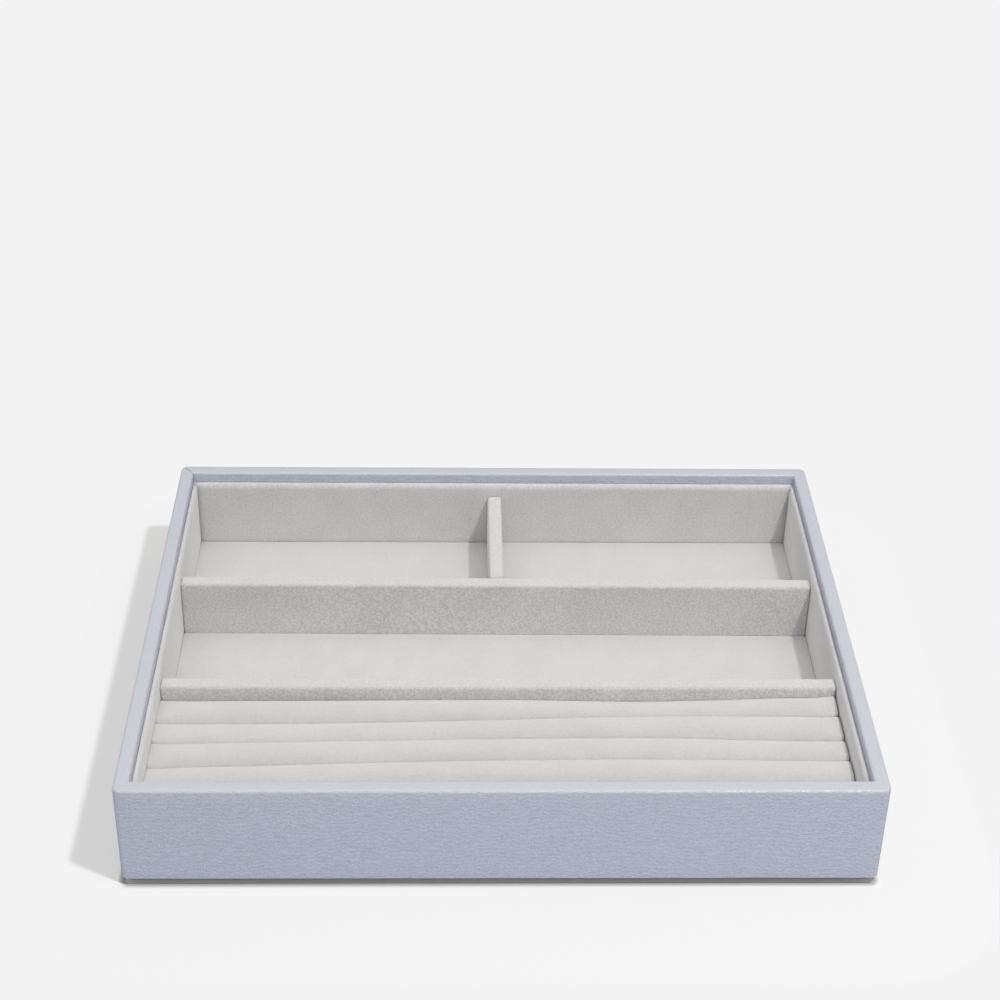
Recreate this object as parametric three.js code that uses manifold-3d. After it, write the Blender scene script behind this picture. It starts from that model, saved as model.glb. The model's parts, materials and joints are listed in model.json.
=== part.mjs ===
// Ring and bracelet tray: a leatherette-wrapped board frame on an inset plinth, lined with velvet,
// with two rear bays, one long middle bay and a front bed of padded ring rolls.
// Millimetres, +X to the right, +Y to the back, +Z up. The origin is under the middle of the tray.

import * as THREE from 'three';
import { mergeVertices } from 'three/addons/utils/BufferGeometryUtils.js';
import Module from 'manifold-3d';

const wasm = await Module();
wasm.setup();

// Overall sizes, outside the leatherette
const trayWidth = 250;
const trayDepth = 180;
const trayHeight = 42;
const cornerRadius = 2.5;
const rimRadius = 1.2;

// Sheet goods
const wallBoard = 3.2;
const baseBoard = 4;
const plinthBoard = 1.8;
const baseFelt = 0.6;
const leatherette = 0.8;
const velvet = 0.5;
const liningBoard = 1.4;
const sideLiningBoard = 0.5;
const dividerBoard = 4.2;
const floorCard = 2;

// Leatherette turned in over the rim and hemmed under the base
const rimTurnIn = 14;
const hemWidth = 14;
const seamGap = 0.3;

// Inside layout: how far each top lies below the rim, and the depth of the bays from back to front
const liningDrop = 4;
const liningReturn = 10;
const dividerDrop = 8.7;
const dividerEdgeRadius = 1.5;
const rearBayDepth = 52;
const ringBayDepth = 51;

// Ring rolls
const rollCount = 5;
const rollDrop = 12.5;
const rollCrownHeight = 3.4;
const rollCrownPower = 2.6;
const rollEndRadius = 1.5;
const creaseLean = 2.2;

// Clearances
const glueLine = 0.1;
const fitGap = 0.3;
const liningGap = 0.1;
const stackClearance = 0.5;
const rollGap = 0.3;
const rollEndGap = 0.5;

// Facets in a quarter round, over a roll's crown and round its ends
const quarterSteps = 4;
const crownSteps = 12;
const endSteps = 3;

// Levels, from the table up
const feltTop = baseFelt;
const plinthTop = feltTop + glueLine + plinthBoard;
const wrapBottom = plinthTop + glueLine;
const hemTop = wrapBottom + leatherette;
const frameBottom = hemTop + glueLine;
const baseTop = frameBottom + baseBoard;
const padBottom = baseTop + glueLine;
const cardTop = padBottom + floorCard;
const rollBottom = cardTop + glueLine;
const rollTop = trayHeight - rollDrop;
const dividerTop = trayHeight - dividerDrop;
const liningTop = trayHeight - liningDrop;
const boardTop = trayHeight - leatherette - glueLine;

// Build-ups of sheet goods, each with its glue lines
const skin = leatherette + glueLine;
const frameInset = skin + wallBoard;
const wall = frameInset + skin;
const cover = velvet + glueLine;
const liningThickness = liningBoard + 2 * cover;
const sideLiningThickness = sideLiningBoard + 2 * cover;
const dividerThickness = dividerBoard + 2 * cover;
const dividerEndRadius = 1.1 * dividerEdgeRadius;

// Half sizes and bay limits
const halfWidth = trayWidth / 2;
const halfDepth = trayDepth / 2;
const liningOuterX = halfWidth - wall - liningGap;
const liningOuterY = halfDepth - wall - liningGap;
const liningInnerX = liningOuterX - sideLiningThickness;
const liningInnerY = liningOuterY - liningThickness;
const rearDividerBack = liningInnerY - rearBayDepth;
const rearDividerFront = rearDividerBack - dividerThickness;
const frontDividerFront = ringBayDepth - liningInnerY;
const frontDividerBack = frontDividerFront + dividerThickness;
const bayHalfX = liningInnerX - fitGap;

const finishes = {
  leatherette: { color: 0xb9bfd2, roughness: 0.55, metalness: 0 },
  velvet: { color: 0xd6d4d1, roughness: 0.95, metalness: 0 },
  fibreboard: { color: 0xb39468, roughness: 0.8, metalness: 0 },
  greyboard: { color: 0xa19c93, roughness: 0.9, metalness: 0 },
  foam: { color: 0xe9e4d6, roughness: 1, metalness: 0 },
  felt: { color: 0x8f8c8a, roughness: 1, metalness: 0 },
};

const tray = new THREE.Group();

function addPiece(name, finish, geometry) {
  const mesh = new THREE.Mesh(geometry, new THREE.MeshStandardMaterial(finishes[finish]));
  mesh.name = name;
  tray.add(mesh);
}

// A closed geometry as a solid for joining and cutting, and back again
function solidOf(geometry) {
  const bare = geometry.clone();
  bare.deleteAttribute('normal');
  bare.deleteAttribute('uv');
  const merged = mergeVertices(bare);
  const vertProperties = new Float32Array(merged.attributes.position.array);
  const triVerts = new Uint32Array(merged.index.array);
  return new wasm.Manifold(new wasm.Mesh({ numProp: 3, vertProperties, triVerts }));
}

function geometryOf(solid) {
  const mesh = solid.getMesh();
  const geometry = new THREE.BufferGeometry();
  geometry.setAttribute('position', new THREE.BufferAttribute(mesh.vertProperties, 3));
  geometry.setIndex(new THREE.BufferAttribute(mesh.triVerts, 1));
  geometry.computeVertexNormals();
  return geometry;
}

// A rectangle with corner radii in the order front left, front right, back right, back left
function rectangle(x0, y0, x1, y1, radii = [0, 0, 0, 0]) {
  const corners = [
    [x0, y0, 1, 1],
    [x1, y0, -1, 1],
    [x1, y1, -1, -1],
    [x0, y1, 1, -1],
  ];
  const shape = new THREE.Shape();
  corners.forEach(([x, y, inX, inY], index) => {
    const radius = radii[index];
    const start = Math.PI + (index * Math.PI) / 2;
    if (radius > 0) {
      shape.absarc(x + inX * radius, y + inY * radius, radius, start, start + Math.PI / 2);
    } else if (index === 0) {
      shape.moveTo(x, y);
    } else {
      shape.lineTo(x, y);
    }
  });
  shape.closePath();
  return shape;
}

// The tray's outline at a given inset from the outside
function outline(inset, radius = 0) {
  const x = halfWidth - inset;
  const y = halfDepth - inset;
  return rectangle(-x, -y, x, y, [radius, radius, radius, radius]);
}

// A shape drawn from above and raised, with the edges of both flat faces eased round
function raise(shape, bottom, top, ease = 0) {
  const geometry = new THREE.ExtrudeGeometry(shape, {
    depth: top - bottom - 2 * ease,
    bevelEnabled: ease > 0,
    bevelThickness: ease,
    bevelSize: ease,
    bevelOffset: -ease,
    bevelSegments: quarterSteps,
    curveSegments: quarterSteps / 2,
  });
  return geometry.translate(0, 0, bottom + ease);
}

// A section drawn upright and run along X or along Y
function runAlongX(section, x0, x1) {
  const settings = { depth: x1 - x0, bevelEnabled: false, curveSegments: quarterSteps / 2 };
  const geometry = new THREE.ExtrudeGeometry(section, settings);
  return geometry.rotateX(Math.PI / 2).rotateZ(Math.PI / 2).translate(x0, 0, 0);
}

function runAlongY(section, y0, y1) {
  const settings = { depth: y1 - y0, bevelEnabled: false, curveSegments: quarterSteps / 2 };
  const geometry = new THREE.ExtrudeGeometry(section, settings);
  return geometry.rotateX(Math.PI / 2).translate(0, y1, 0);
}

// Plinth: the felt the tray stands on, its board, and a levelling card inside the hem
function addPlinth() {
  const foot = outline(wall + stackClearance, cornerRadius);
  const insideHem = outline(hemWidth + fitGap);
  addPiece('base_felt', 'felt', raise(foot, 0, feltTop));
  addPiece('plinth_board', 'greyboard', raise(foot, feltTop + glueLine, plinthTop));
  addPiece('hem_infill_card', 'greyboard', raise(insideHem, wrapBottom, hemTop));
}

// Board frame: front and back run the full width, the sides and the base fit between
function addFrame() {
  const ease = rimRadius - skin;
  const round = cornerRadius - skin;
  const outerX = halfWidth - skin;
  const outerY = halfDepth - skin;
  const innerX = halfWidth - frameInset;
  const innerY = halfDepth - frameInset;
  const sideEndY = innerY - glueLine;
  const boards = {
    front_wall_board: rectangle(-outerX, -outerY, outerX, -innerY, [round, round, 0, 0]),
    back_wall_board: rectangle(-outerX, innerY, outerX, outerY, [0, 0, round, round]),
    left_wall_board: rectangle(-outerX, -sideEndY, -innerX, sideEndY),
    right_wall_board: rectangle(innerX, -sideEndY, outerX, sideEndY),
  };
  for (const [name, shape] of Object.entries(boards)) {
    addPiece(name, 'fibreboard', raise(shape, frameBottom, boardTop, ease));
  }
  addPiece('base_board', 'fibreboard', raise(outline(frameInset + glueLine), frameBottom, baseTop));
}

// Leatherette: one strip over the outside, the rim and the top of the inside, hemmed under the
// base, with its two ends meeting on the mitre of the back left corner
function addWrap() {
  const ring = outline(0, cornerRadius);
  ring.holes.push(outline(wall));
  const core = outline(leatherette, cornerRadius - leatherette);
  core.holes.push(outline(wall - leatherette));
  const hem = outline(wall / 2);
  hem.holes.push(outline(hemWidth));
  const shell = solidOf(raise(ring, wrapBottom, trayHeight, rimRadius));
  const hollow = solidOf(raise(core, hemTop, trayHeight - leatherette, rimRadius - leatherette));
  const belowTurnIn = solidOf(raise(outline(frameInset), 0, trayHeight - rimTurnIn));
  const hemRing = solidOf(raise(hem, wrapBottom, hemTop));
  const seam = new THREE.BoxGeometry(3 * hemWidth, seamGap, 3 * trayHeight);
  seam.rotateZ(-Math.PI / 4).translate(hemWidth / 2 - halfWidth, halfDepth - hemWidth / 2, 0);
  const wrap = shell.subtract(hollow).subtract(belowTurnIn).add(hemRing).subtract(solidOf(seam));
  addPiece('leatherette_wrap', 'leatherette', geometryOf(wrap));
}

// Over a rounded top from the right to the left, and back under it
function overTop(section, half, top, radius) {
  section.absarc(half - radius, top - radius, radius, 0, Math.PI / 2);
  section.absarc(radius - half, top - radius, radius, Math.PI / 2, Math.PI);
}

function backUnder(section, half, top, radius) {
  section.absarc(radius - half, top - radius, radius, Math.PI, Math.PI / 2, true);
  section.absarc(half - radius, top - radius, radius, Math.PI / 2, 0, true);
}

// A board standing on edge, drawn about its own middle
function boardSection(thickness, top, radius) {
  const half = thickness / 2;
  const section = new THREE.Shape();
  section.moveTo(-half, padBottom);
  section.lineTo(half, padBottom);
  overTop(section, half, top, radius);
  section.closePath();
  return section;
}

// Velvet over such a board: an upside-down U whose legs may end at different heights
function sleeveSection(thickness, top, radius, leftEnd, rightEnd) {
  const half = thickness / 2;
  const section = new THREE.Shape();
  section.moveTo(half - velvet, rightEnd);
  section.lineTo(half, rightEnd);
  overTop(section, half, top, radius);
  section.lineTo(-half, leftEnd);
  section.lineTo(velvet - half, leftEnd);
  backUnder(section, half - velvet, top - velvet, radius - velvet);
  section.closePath();
  return section;
}

// Lining: velvet runs up the face of each card, over its round top and some way down its back
function liningSections(cardThickness) {
  const thickness = cardThickness + 2 * cover;
  const returnEnd = liningTop - liningReturn;
  return {
    card: boardSection(cardThickness, liningTop - cover, cardThickness / 2),
    wallOnRight: sleeveSection(thickness, liningTop, thickness / 2, padBottom, returnEnd),
    wallOnLeft: sleeveSection(thickness, liningTop, thickness / 2, returnEnd, padBottom),
  };
}

// The front and back linings run the full width, and the thinner sides fit between them
function addLining() {
  const long = liningSections(liningBoard);
  const short = liningSections(sideLiningBoard);
  const middleX = liningOuterX - sideLiningThickness / 2;
  const middleY = liningOuterY - liningThickness / 2;
  const sideEndY = liningInnerY - fitGap;
  for (const [side, sign, sleeve] of [['back', 1, long.wallOnRight], ['front', -1, long.wallOnLeft]]) {
    const board = runAlongX(long.card, -liningOuterX, liningOuterX).translate(0, sign * middleY, 0);
    const cloth = runAlongX(sleeve, -liningOuterX, liningOuterX).translate(0, sign * middleY, 0);
    addPiece(`${side}_lining_board`, 'greyboard', board);
    addPiece(`${side}_lining_velvet`, 'velvet', cloth);
  }
  for (const [side, sign, sleeve] of [['right', 1, short.wallOnRight], ['left', -1, short.wallOnLeft]]) {
    const board = runAlongY(short.card, -sideEndY, sideEndY).translate(sign * middleX, 0, 0);
    const cloth = runAlongY(sleeve, -sideEndY, sideEndY).translate(sign * middleX, 0, 0);
    addPiece(`${side}_lining_board`, 'greyboard', board);
    addPiece(`${side}_lining_velvet`, 'velvet', cloth);
  }
}

// A divider at a given depth inside the face of its velvet: an upright slab with round ends and
// eased top edges, cut off level where the bays begin
function dividerForm([x0, y0, x1, y1], depthIn) {
  const round = dividerEndRadius - depthIn;
  const radii = [round, round, round, round];
  const plan = rectangle(x0 + depthIn, y0 + depthIn, x1 - depthIn, y1 - depthIn, radii);
  const slab = solidOf(raise(plan, frameBottom, dividerTop - depthIn, dividerEdgeRadius - depthIn));
  return slab.subtract(solidOf(raise(outline(0), 0, padBottom)));
}

// Dividers: boards in velvet covers that are closed at both ends and open underneath
function addDividers() {
  const half = dividerThickness / 2;
  const dividers = {
    rear: [-bayHalfX, rearDividerFront, bayHalfX, rearDividerBack],
    front: [-bayHalfX, frontDividerFront, bayHalfX, frontDividerBack],
    short: [-half, rearDividerBack + fitGap, half, liningInnerY - fitGap],
  };
  for (const [place, corners] of Object.entries(dividers)) {
    const cloth = dividerForm(corners, 0).subtract(dividerForm(corners, velvet));
    addPiece(`${place}_divider_board`, 'fibreboard', geometryOf(dividerForm(corners, cover)));
    addPiece(`${place}_divider_velvet`, 'velvet', geometryOf(cloth));
  }
}

// Floor pads: a card with velvet over its top and edges, open underneath
function addFloors() {
  const shortEdge = dividerThickness / 2 + fitGap;
  const rearFront = rearDividerBack + fitGap;
  const rearBack = liningInnerY - fitGap;
  const pads = {
    rear_left: [-bayHalfX, rearFront, -shortEdge, rearBack],
    rear_right: [shortEdge, rearFront, bayHalfX, rearBack],
    middle: [-bayHalfX, frontDividerBack + fitGap, bayHalfX, rearDividerFront - fitGap],
  };
  for (const [bay, [x0, y0, x1, y1]] of Object.entries(pads)) {
    const card = rectangle(x0 + cover, y0 + cover, x1 - cover, y1 - cover);
    const room = rectangle(x0 + velvet, y0 + velvet, x1 - velvet, y1 - velvet);
    const cloth = solidOf(raise(rectangle(x0, y0, x1, y1), padBottom, cardTop + cover));
    const hollow = solidOf(raise(room, baseTop, cardTop + glueLine));
    addPiece(`${bay}_floor_card`, 'greyboard', raise(card, padBottom, cardTop));
    addPiece(`${bay}_floor_velvet`, 'velvet', geometryOf(cloth.subtract(hollow)));
  }
}

// Creases between rolls, counted from the divider: the inner ones lean across the bay, every
// other one by half as much
function creaseY(crease, x) {
  const pitch = ringBayDepth / rollCount;
  const outermost = crease === 0 || crease === rollCount;
  const lean = outermost ? 0 : creaseLean / (crease % 2 ? 1 : 2);
  return frontDividerFront - crease * pitch + (lean * x) / liningInnerX;
}

// Stations along a roll: the place on X, and how far the section is drawn in at the round ends
function rollStations(depthIn) {
  const radius = rollEndRadius - depthIn;
  const halfLength = liningInnerX - rollEndGap - depthIn;
  const leftEnd = [];
  for (let step = 0; step <= endSteps; step += 1) {
    const angle = (step * Math.PI) / (2 * endSteps);
    leftEnd.push([radius * (1 - Math.cos(angle)) - halfLength, radius * (1 - Math.sin(angle))]);
  }
  const rightEnd = leftEnd.map(([x, drawnIn]) => [-x, drawnIn]).reverse();
  return [...leftEnd, ...rightEnd];
}

// Section of a roll at one station: straight sides up from the bed, then a full crown from
// the crease behind it to the crease in front
function rollSection(roll, x, inset, bottom) {
  const back = creaseY(roll, x) - rollGap / 2 - inset;
  const front = creaseY(roll + 1, x) + rollGap / 2 + inset;
  const middle = (back + front) / 2;
  const half = (back - front) / 2;
  const springing = rollTop - inset - rollCrownHeight;
  const points = [x, front, bottom, x, back, bottom];
  for (let step = 0; step <= crownSteps; step += 1) {
    const angle = (step * Math.PI) / crownSteps;
    const across = Math.sign(Math.cos(angle)) * Math.abs(Math.cos(angle)) ** (2 / rollCrownPower);
    const up = Math.abs(Math.sin(angle)) ** (2 / rollCrownPower);
    points.push(x, middle + half * across, springing + rollCrownHeight * up);
  }
  return points;
}

// A roll lofted through its stations, at a given depth inside the face of its velvet
function rollLoft(roll, depthIn, bottom) {
  const stations = rollStations(depthIn);
  const sections = stations.map(([x, drawnIn]) => rollSection(roll, x, drawnIn + depthIn, bottom));
  const count = sections[0].length / 3;
  const last = (sections.length - 1) * count;
  const index = [];
  for (let start = 0; start < last; start += count) {
    for (let point = 0; point < count; point += 1) {
      const a = start + point;
      const b = start + ((point + 1) % count);
      index.push(a, b, b + count, a, b + count, a + count);
    }
  }
  for (let point = 1; point + 1 < count; point += 1) {
    index.push(0, point + 1, point);
    index.push(last, last + point, last + point + 1);
  }
  const geometry = new THREE.BufferGeometry();
  geometry.setAttribute('position', new THREE.Float32BufferAttribute(sections.flat(), 3));
  geometry.setIndex(index);
  geometry.computeVertexNormals();
  return geometry;
}

// Ring bed: a card that carries the rolls, each a foam core in a velvet cover open underneath
function addRingBed() {
  const bed = rectangle(-bayHalfX, fitGap - liningInnerY, bayHalfX, frontDividerFront - fitGap);
  addPiece('ring_bed_card', 'greyboard', raise(bed, padBottom, cardTop));
  for (let roll = 0; roll < rollCount; roll += 1) {
    const outside = solidOf(rollLoft(roll, 0, rollBottom));
    const inside = solidOf(rollLoft(roll, velvet, cardTop));
    addPiece(`ring_roll_core_${roll + 1}`, 'foam', rollLoft(roll, cover, rollBottom));
    addPiece(`ring_roll_velvet_${roll + 1}`, 'velvet', geometryOf(outside.subtract(inside)));
  }
}

addPlinth();
addFrame();
addWrap();
addLining();
addDividers();
addFloors();
addRingBed();

export default tray;
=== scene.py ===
# Looks of the ring and bracelet tray: leatherette, velvet, padded ring rolls, board and felt.
# Pieces are modelled in millimetres and scaled to metres as they are finished.
import json
import math

import bmesh
import bpy
from mathutils import Matrix, Vector, noise


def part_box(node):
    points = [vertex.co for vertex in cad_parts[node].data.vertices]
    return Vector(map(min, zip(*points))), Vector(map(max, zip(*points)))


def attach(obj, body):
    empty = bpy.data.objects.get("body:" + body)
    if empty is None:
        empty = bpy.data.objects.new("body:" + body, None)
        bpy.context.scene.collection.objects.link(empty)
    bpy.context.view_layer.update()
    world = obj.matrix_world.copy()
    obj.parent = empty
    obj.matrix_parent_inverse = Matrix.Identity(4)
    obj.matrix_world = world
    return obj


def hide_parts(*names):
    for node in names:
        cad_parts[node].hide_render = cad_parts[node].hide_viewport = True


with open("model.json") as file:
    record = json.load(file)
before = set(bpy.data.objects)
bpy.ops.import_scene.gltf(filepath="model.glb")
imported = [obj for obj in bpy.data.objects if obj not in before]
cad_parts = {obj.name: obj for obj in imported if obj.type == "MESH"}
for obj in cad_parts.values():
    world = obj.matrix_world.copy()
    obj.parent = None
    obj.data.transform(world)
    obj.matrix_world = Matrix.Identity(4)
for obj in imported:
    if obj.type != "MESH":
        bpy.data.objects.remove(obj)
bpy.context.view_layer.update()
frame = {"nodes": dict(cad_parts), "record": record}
scene = bpy.context.scene
nodes = frame["nodes"]
mm = 0.001
close = 0.01  # millimetres within which two places count as one
aligned = 0.999  # share of an edge's length that has to lie along its axis
print("frame loaded,", len(nodes), "nodes")


# Small helpers shared by all the pieces

def boxOf(node):
    low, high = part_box(node)
    return low / mm, high / mm


def linear(red, green, blue):
    channels = [value / 255 for value in (red, green, blue)]
    lit = [c / 12.92 if c <= 0.04045 else ((c + 0.055) / 1.055) ** 2.4 for c in channels]
    return (*lit, 1.0)


def cubeIn(bm, low, high):
    place = Matrix.Translation((low + high) / 2) @ Matrix.Diagonal((*(high - low), 1.0))
    bmesh.ops.create_cube(bm, size=1.0, matrix=place)


def edgesAlong(bm, axis, longer=0.0):
    found = []
    for edge in bm.edges:
        span = edge.verts[1].co - edge.verts[0].co
        if abs(span[axis]) > aligned * span.length and span.length > longer:
            found.append(edge)
    return found


def edgesOnTop(bm, height):
    return [edge for edge in bm.edges if min(vert.co.z for vert in edge.verts) > height - close]


def openUnderneath(bm):
    under = [face for face in bm.faces if face.normal.z < -0.5]
    bmesh.ops.delete(bm, geom=under, context="FACES_ONLY")


def cutEdges(bm, edges, every):
    longest = max(edge.calc_length() for edge in edges)
    cuts = max(1, round(longest / every) - 1)
    bmesh.ops.subdivide_edges(bm, edges=edges, cuts=cuts, use_grid_fill=True)


def roundEdges(bm, edges, radius, segments):
    bmesh.ops.bevel(bm, geom=edges, offset=radius, offset_type="OFFSET", segments=segments,
                    profile=0.5, affect="EDGES", clamp_overlap=True, material=-1)


# Slow waves, with quicker and lower ones, that keep a hand-covered face from being dead flat
waves = {"seedTurns": (1.0, 2.7, -1.3), "quickLength": 0.37, "quickHeight": 0.4}


def unevenFaces(bm, height, length, seed):
    bmesh.ops.recalc_face_normals(bm, faces=bm.faces)
    bm.normal_update()
    offset = Vector([turn * seed for turn in waves["seedTurns"]])
    for vert in bm.verts:
        slow = noise.noise(vert.co / length + offset)
        quick = noise.noise(vert.co / (waves["quickLength"] * length) - offset)
        vert.co += vert.normal * height * (slow + waves["quickHeight"] * quick)


def finishPiece(name, bm, material, replaced, thickness=0.0):
    bmesh.ops.scale(bm, vec=(mm, mm, mm), verts=bm.verts)
    mesh = bpy.data.meshes.new(name)
    bm.to_mesh(mesh)
    bm.free()
    mesh.shade_smooth()
    mesh.materials.append(material)
    piece = bpy.data.objects.new(name, mesh)
    scene.collection.objects.link(piece)
    if thickness:
        wall = piece.modifiers.new("thickness", "SOLIDIFY")
        wall.thickness = thickness * mm
        wall.offset = -1.0
    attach(piece, "root")
    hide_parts(*replaced)
    return piece


# Node helpers: a socket given as an input is linked, anything else is its fixed value

def addNode(tree, kind, inputs=None, **settings):
    node = tree.nodes.new(kind)
    for key, value in settings.items():
        setattr(node, key, value)
    for key, value in (inputs or {}).items():
        if isinstance(value, bpy.types.NodeSocket):
            tree.links.new(value, node.inputs[key])
        else:
            node.inputs[key].default_value = value
    return node


def newMaterial(name):
    material = bpy.data.materials.new(name)
    material.use_nodes = True
    tree = material.node_tree
    return material, tree, tree.nodes["Principled BSDF"]


def newGroup(name, inputs, outputs):
    group = bpy.data.node_groups.new(name, "ShaderNodeTree")
    for label, kind in inputs:
        group.interface.new_socket(label, in_out="INPUT", socket_type="NodeSocket" + kind)
    for label, kind in outputs:
        group.interface.new_socket(label, in_out="OUTPUT", socket_type="NodeSocket" + kind)
    return group, addNode(group, "NodeGroupInput"), addNode(group, "NodeGroupOutput")


# A Mix node's sockets are given by number, because each of their names stands there several times
def mixColors(tree, factor, first, second):
    return addNode(tree, "ShaderNodeMix", {0: factor, 6: first, 7: second}, data_type="RGBA").outputs[2]


def mixValues(tree, factor, first, second):
    return addNode(tree, "ShaderNodeMix", {0: factor, 2: first, 3: second}, data_type="FLOAT").outputs[0]


def math2(tree, operation, first, second):
    return addNode(tree, "ShaderNodeMath", {0: first, 1: second}, operation=operation).outputs[0]


def vector2(tree, operation, first, second):
    return addNode(tree, "ShaderNodeVectorMath", {0: first, 1: second}, operation=operation).outputs[0]


def remap(tree, value, low, high, toLow=0.0, toHigh=1.0, easing="SMOOTHSTEP"):
    inputs = {"Value": value, "From Min": low, "From Max": high, "To Min": toLow, "To Max": toHigh}
    return addNode(tree, "ShaderNodeMapRange", inputs, interpolation_type=easing).outputs[0]


def addBump(tree, shader, height, strength, depth):
    bump = addNode(tree, "ShaderNodeBump", {"Height": height, "Strength": strength, "Distance": depth})
    tree.links.new(bump.outputs[0], shader.inputs["Normal"])


# Pile: fine fibre ends over slow brushed patches, for velvet and felt
pileNoise = {"fibreDetail": 4.0, "fibreRoughness": 0.62, "fibreRange": (0.28, 0.72),
             "patchDetail": 3.0, "patchRoughness": 0.55, "patchRange": (0.3, 0.7)}


def makePileGroup():
    scales = ("Fibre Scale", "Patch Scale", "Patch Share")
    group, put, out = newGroup("pile", [("Vector", "Vector")] + [(label, "Float") for label in scales],
                               [("Shade", "Float"), ("Height", "Float")])
    place = put.outputs["Vector"]
    fibre = addNode(group, "ShaderNodeTexNoise", {
        "Vector": place, "Scale": put.outputs["Fibre Scale"],
        "Detail": pileNoise["fibreDetail"], "Roughness": pileNoise["fibreRoughness"]})
    patch = addNode(group, "ShaderNodeTexNoise", {
        "Vector": place, "Scale": put.outputs["Patch Scale"],
        "Detail": pileNoise["patchDetail"], "Roughness": pileNoise["patchRoughness"]})
    fibreShade = remap(group, fibre.outputs["Fac"], *pileNoise["fibreRange"])
    patchShade = remap(group, patch.outputs["Fac"], *pileNoise["patchRange"])
    blend = mixValues(group, put.outputs["Patch Share"], fibreShade, patchShade)
    group.links.new(blend, out.inputs["Shade"])
    group.links.new(fibre.outputs["Fac"], out.inputs["Height"])
    return group


pileGroup = makePileGroup()

# Velvet: one fabric whose tone is set apart for each place, lighter on the shaded bay floors and darker on
# the fully lit rolls, as painted light and shade; how it was brushed differs with the place too, and its
# pile is the same everywhere
velvetLooks = {
    "velvetFloor": {"dark": (195, 194, 194), "light": (206, 205, 205), "stretch": (1.0, 0.7, 1.0),
                    "patchesPerMetre": 90.0, "patches": 0.4, "bumpDepth": 0.0001, "calmTop": 0.0},
    "velvetWall": {"dark": (191, 190, 190), "light": (217, 216, 216), "stretch": (1.0, 1.0, 0.8),
                   "patchesPerMetre": 90.0, "patches": 0.2, "bumpDepth": 0.00016, "calmTop": 0.0},
    "velvetDivider": {"dark": (174, 173, 173), "light": (219, 218, 218), "stretch": (1.0, 1.0, 1.0),
                      "patchesPerMetre": 45.0, "patches": 0.16, "bumpDepth": 0.0002, "calmTop": 0.5},
    "velvetRoll": {"dark": (188, 187, 187), "light": (201, 200, 200), "stretch": (0.7, 1.0, 1.0),
                   "patchesPerMetre": 90.0, "patches": 0.4, "bumpDepth": 0.0001, "calmTop": 0.0},
}
# The pile's edge colour is a painted sheen, mixed in where the pile is seen at a slant
velvetPile = {"fibresPerMetre": 1300.0, "bump": 0.7, "edge": (240, 239, 239), "paintedSheenShare": 0.6,
              "slant": 0.5, "crest": (0.3, 0.8), "evenShade": 0.5, "roughness": 0.93, "specular": 0.2,
              "sheen": 0.25, "sheenRoughness": 0.4}


def makeVelvet(name):
    look = velvetLooks[name]
    material, tree, shader = newMaterial(name)
    coord = addNode(tree, "ShaderNodeTexCoord")
    mapped = addNode(tree, "ShaderNodeMapping",
                     {"Vector": coord.outputs["Object"], "Scale": look["stretch"]})
    pile = addNode(tree, "ShaderNodeGroup", {
        "Vector": mapped.outputs[0], "Fibre Scale": velvetPile["fibresPerMetre"],
        "Patch Scale": look["patchesPerMetre"], "Patch Share": look["patches"]}, node_tree=pileGroup)
    facing = addNode(tree, "ShaderNodeSeparateXYZ", {0: coord.outputs["Normal"]})
    crestLow, crestHigh = velvetPile["crest"]  # a crest is brushed smoother
    calm = remap(tree, facing.outputs["Z"], crestLow, crestHigh, 0.0, look["calmTop"])
    shade = mixValues(tree, calm, pile.outputs["Shade"], velvetPile["evenShade"])
    color = mixColors(tree, shade, linear(*look["dark"]), linear(*look["light"]))
    # Painted sheen: the colour is mixed towards the pale edge colour where the pile is seen at a slant
    slant = addNode(tree, "ShaderNodeLayerWeight", {"Blend": velvetPile["slant"]})  # paler from the side
    edge = math2(tree, "MULTIPLY", slant.outputs["Facing"], velvetPile["paintedSheenShare"])
    tree.links.new(mixColors(tree, edge, color, linear(*velvetPile["edge"])), shader.inputs["Base Color"])
    addBump(tree, shader, pile.outputs["Height"], velvetPile["bump"], look["bumpDepth"])
    shader.inputs["Roughness"].default_value = velvetPile["roughness"]
    shader.inputs["Specular IOR Level"].default_value = velvetPile["specular"]
    shader.inputs["Sheen Weight"].default_value = velvetPile["sheen"]
    shader.inputs["Sheen Roughness"].default_value = velvetPile["sheenRoughness"]
    return material


velvet = {name: makeVelvet(name) for name in velvetLooks}

# Leatherette: short swaying ripples broken up by pebbles, flatter on the rim and painted a little greyer
# there as a sheen on its upward faces, with a dotted shine on its rounds that is partly a real coat and
# partly a painted cream highlight. Lengths on the strip are in millimetres, the bump's depth in metres
leatheretteLook = {"pit": (179, 185, 204), "face": (202, 208, 226), "rim": (195, 198, 207),
                   "seam": (120, 122, 132), "ripple": 1.85, "rippleShare": 0.31, "breaks": (0.38, 0.6),
                   "sway": 0.055, "swayDepth": 5.5, "bends": (2.2, 2.4), "bending": 13.0,
                   "pebbles": 2.0, "pebbleShare": 1.2, "bump": 0.6, "bumpDepth": 0.0003,
                   "rimPress": 0.7, "rimSheen": 0.75, "roughness": 0.46, "gloss": (1.0, 0.84, 0.4),
                   "roundEdges": (0.05, 0.15), "dots": 1.1, "dotEdges": (0.52, 0.57),
                   "dot": (220, 213, 197), "glintPaintShare": 0.4, "dotRoughness": 0.26, "dotIor": 1.5}


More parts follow.
